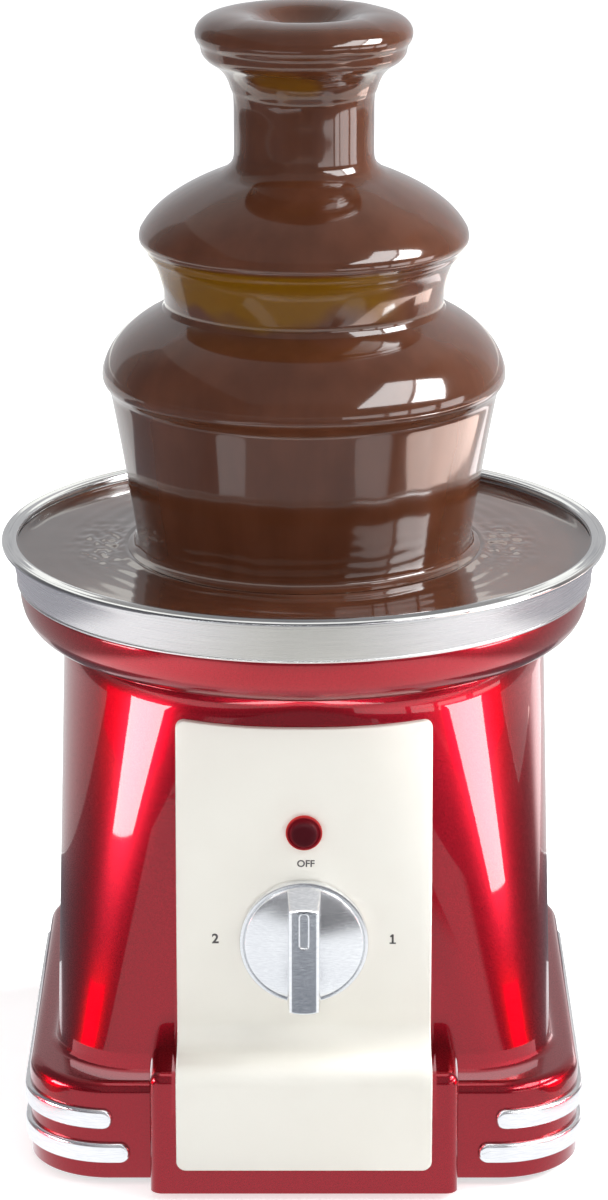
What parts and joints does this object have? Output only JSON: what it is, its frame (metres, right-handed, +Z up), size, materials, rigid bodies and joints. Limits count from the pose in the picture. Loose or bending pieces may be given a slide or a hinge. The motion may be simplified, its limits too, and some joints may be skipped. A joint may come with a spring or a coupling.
{
  "type": "chocolate fountain",
  "caption": "Table-top chocolate fountain: heated steel bowl on a red housing with a turning control knob, and a geared auger in a lift-off tower that feeds tiered chocolate curtains.",
  "frame": {"origin": "on the table plane under the axis of the bowl and the auger", "axes": "+Z up along the auger's axis, -Y towards the control panel, +X to the viewer's right"},
  "size_m": [0.208, 0.2116, 0.3825],
  "materials": {
    "red_gloss": "deep metallic red under clear gloss",
    "cream_panel": "satin cream",
    "bright_trim": "satin bright",
    "knob_chrome": "satin chrome plating",
    "steel": "turned",
    "bowl_steel": "fine brushed",
    "tower_steel": "polished",
    "aluminium_sheet": "mill",
    "bronze": "sintered",
    "motor_paint": "satin",
    "black_plastic": "fine grain",
    "white_plastic": "natural",
    "lens_red": "translucent",
    "seal_rubber": "matte",
    "foot_rubber": "matte",
    "chocolate": null
  },
  "bodies": {
    "base": {"housing": "red_gloss", "bowl_collar": "red_gloss", "front_panel": "cream_panel", "trim_upper_left": "bright_trim", "trim_upper_right": "bright_trim", "trim_lower_left": "bright_trim", "trim_lower_right": "bright_trim", "rotary_switch": "black_plastic", "switch_nut": "steel", "lamp_lens": "lens_red", "lamp_holder": "black_plastic", "bowl": "bowl_steel", "upper_bush": "bronze", "shaft_seal": "seal_rubber", "heater_ring": "steel", "heater_clamp": "aluminium_sheet", "thermostat": "black_plastic", "thermal_fuse": "white_plastic", "plate_pillars": "steel", "motor_plate": "steel", "plate_screws": "steel", "motor": "motor_paint", "gear_cover": "white_plastic", "lower_bush": "bronze", "chocolate_pool": "chocolate", "bottom_cover": "black_plastic", "cover_screws": "steel", "feet": "foot_rubber", "cord_gland": "seal_rubber"},
    "knob": {"control_knob": "knob_chrome", "knob_spindle": "steel"},
    "drive": {"drive_shaft": "steel", "output_gear": "white_plastic", "auger": "white_plastic"},
    "rotor": {"motor_pinion": "bronze"},
    "tower": {"tower_tube": "tower_steel", "lower_tier": "tower_steel", "upper_tier": "tower_steel", "crown": "tower_steel", "chocolate_cascade": "chocolate"}
  },
  "joints": [
    {"name": "knob_turn", "type": "hinge", "parent": "base", "child": "knob", "pos_m": [0, -0.0844, 0.0855], "axis": [0, 1, 0], "range_deg": [-90, 90]},
    {"name": "auger_spin", "type": "hinge", "parent": "base", "child": "drive", "pos_m": [0, 0, 0.17], "axis": [0, 0, 1], "continuous": true},
    {"name": "pinion_spin", "type": "hinge", "parent": "base", "child": "rotor", "pos_m": [0, 0.0351, 0.12], "axis": [0, 0, 1], "continuous": true},
    {"name": "tower_lift", "type": "slide", "parent": "base", "child": "tower", "axis": [0, 0, 1], "range_m": [0, 0.21]}
  ],
  "couplings": [
    {"joint": "pinion_spin", "follows": "auger_spin", "ratio": -4}
  ]
}
